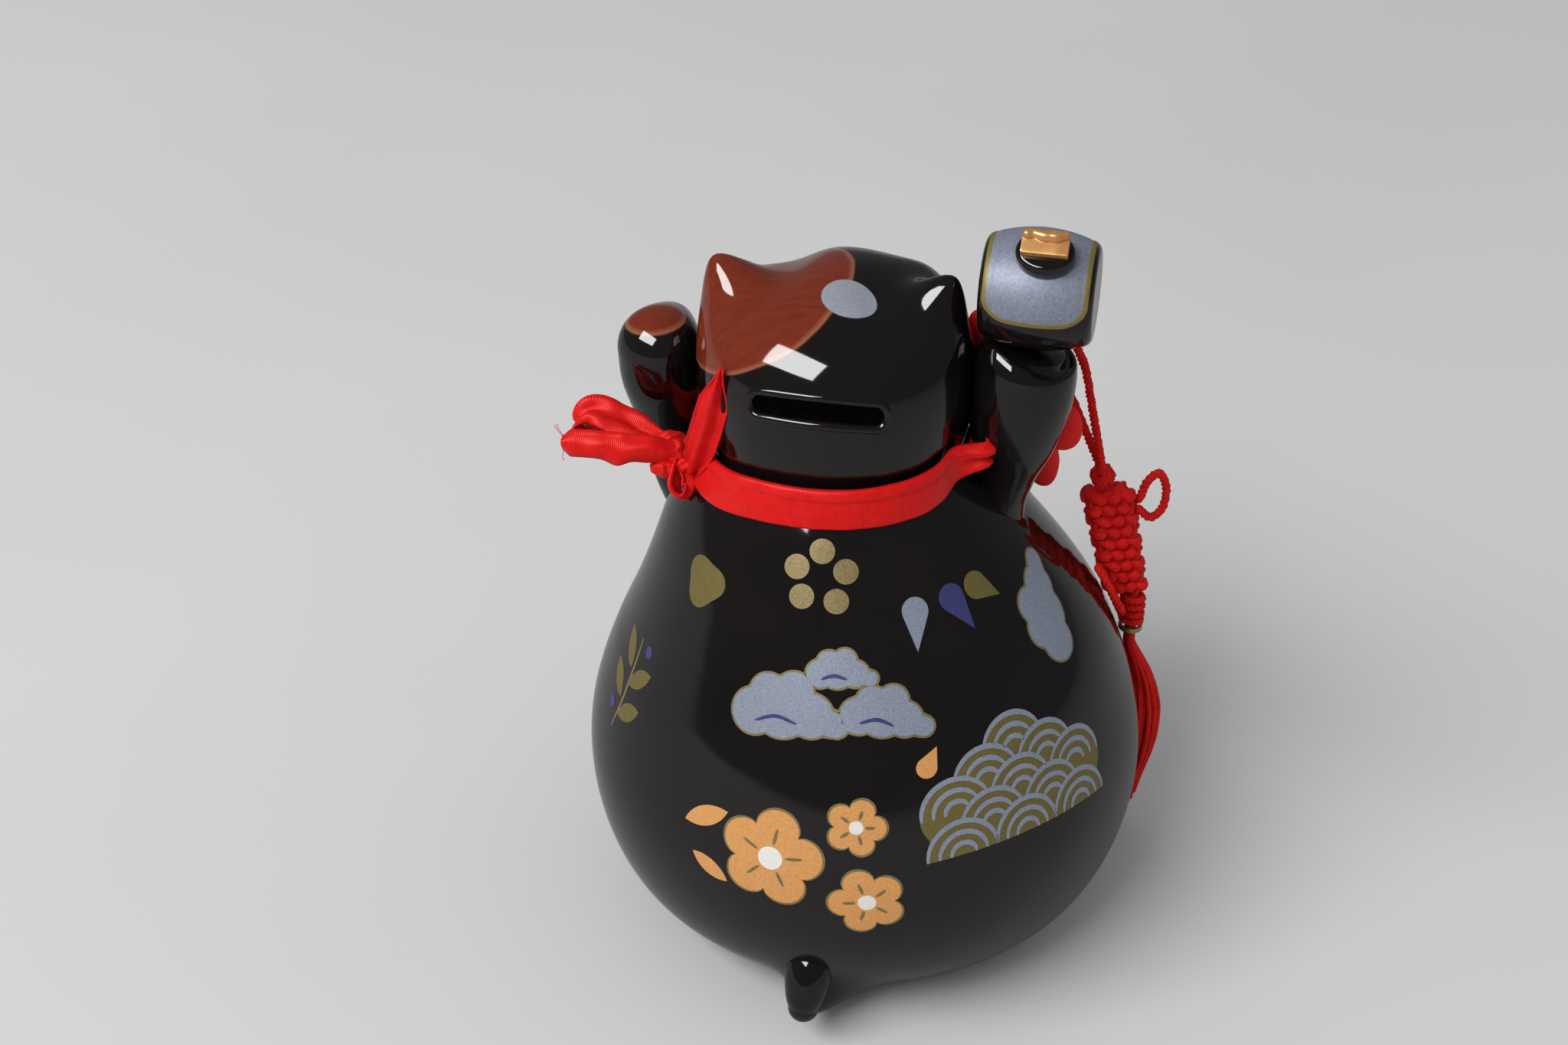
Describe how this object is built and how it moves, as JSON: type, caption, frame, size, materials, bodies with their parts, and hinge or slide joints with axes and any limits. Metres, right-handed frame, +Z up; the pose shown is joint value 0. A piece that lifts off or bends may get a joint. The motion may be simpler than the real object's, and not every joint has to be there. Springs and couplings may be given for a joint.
{
  "type": "lucky cat coin bank",
  "caption": "Seated lucky cat coin bank in black glaze with a raised paw, a mallet, a neck ribbon, a knotted tassel, a coin slot behind the head and a soft plug in the base.",
  "frame": {"origin": "the floor under the middle of the figure's box, measured without the tassel and its cords", "axes": "+Z up, the face towards -Y, the coin slot towards +Y, the cat's raised left paw towards +X"},
  "size_m": [0.1464, 0.1418, 0.1978],
  "materials": {
    "black_glaze": "high gloss",
    "silver_lustre": "satin lustre",
    "gilt": "gilded",
    "soft_plug": "matte",
    "satin_ribbon": "satin weave",
    "padded_fabric": "matte crepe",
    "red_cord": "matte braid",
    "metal_thread": "metallic thread"
  },
  "bodies": {
    "figure": {"body_casting": "black_glaze", "left_arm_casting": "black_glaze", "right_arm_casting": "black_glaze", "mallet_barrel": "silver_lustre", "mallet_handle": "black_glaze", "gilded_cap": "gilt", "ribbon_collar": "satin_ribbon", "ribbon_knot": "satin_ribbon", "bow_loop": "satin_ribbon", "bow_loop_lower": "satin_ribbon", "ribbon_tail_left": "satin_ribbon", "ribbon_tail_upright": "satin_ribbon", "padded_bow_knot": "padded_fabric", "padded_bow_upper": "padded_fabric", "padded_bow_lower": "padded_fabric", "padded_bow_tail": "padded_fabric", "hanging_loop": "red_cord"},
    "tassel": {"strand_near": "red_cord", "strand_far": "red_cord", "button_knot": "red_cord", "woven_knot": "red_cord", "knot_loop_upper": "red_cord", "knot_loop_lower": "red_cord", "neck_winding": "red_cord", "metal_thread_band": "metal_thread", "tassel_skirt": "red_cord"},
    "stopper": {"base_stopper": "soft_plug"}
  },
  "joints": [
    {"name": "tassel_swing", "type": "hinge", "parent": "figure", "child": "tassel", "pos_m": [-0.04624, -0.02229, 0.1445], "axis": [-0.4226, 0.9063, 0], "range_deg": [0, 60]},
    {"name": "stopper_pull", "type": "slide", "parent": "figure", "child": "stopper", "axis": [0, 0, -1], "range_m": [0, 0.025]}
  ]
}
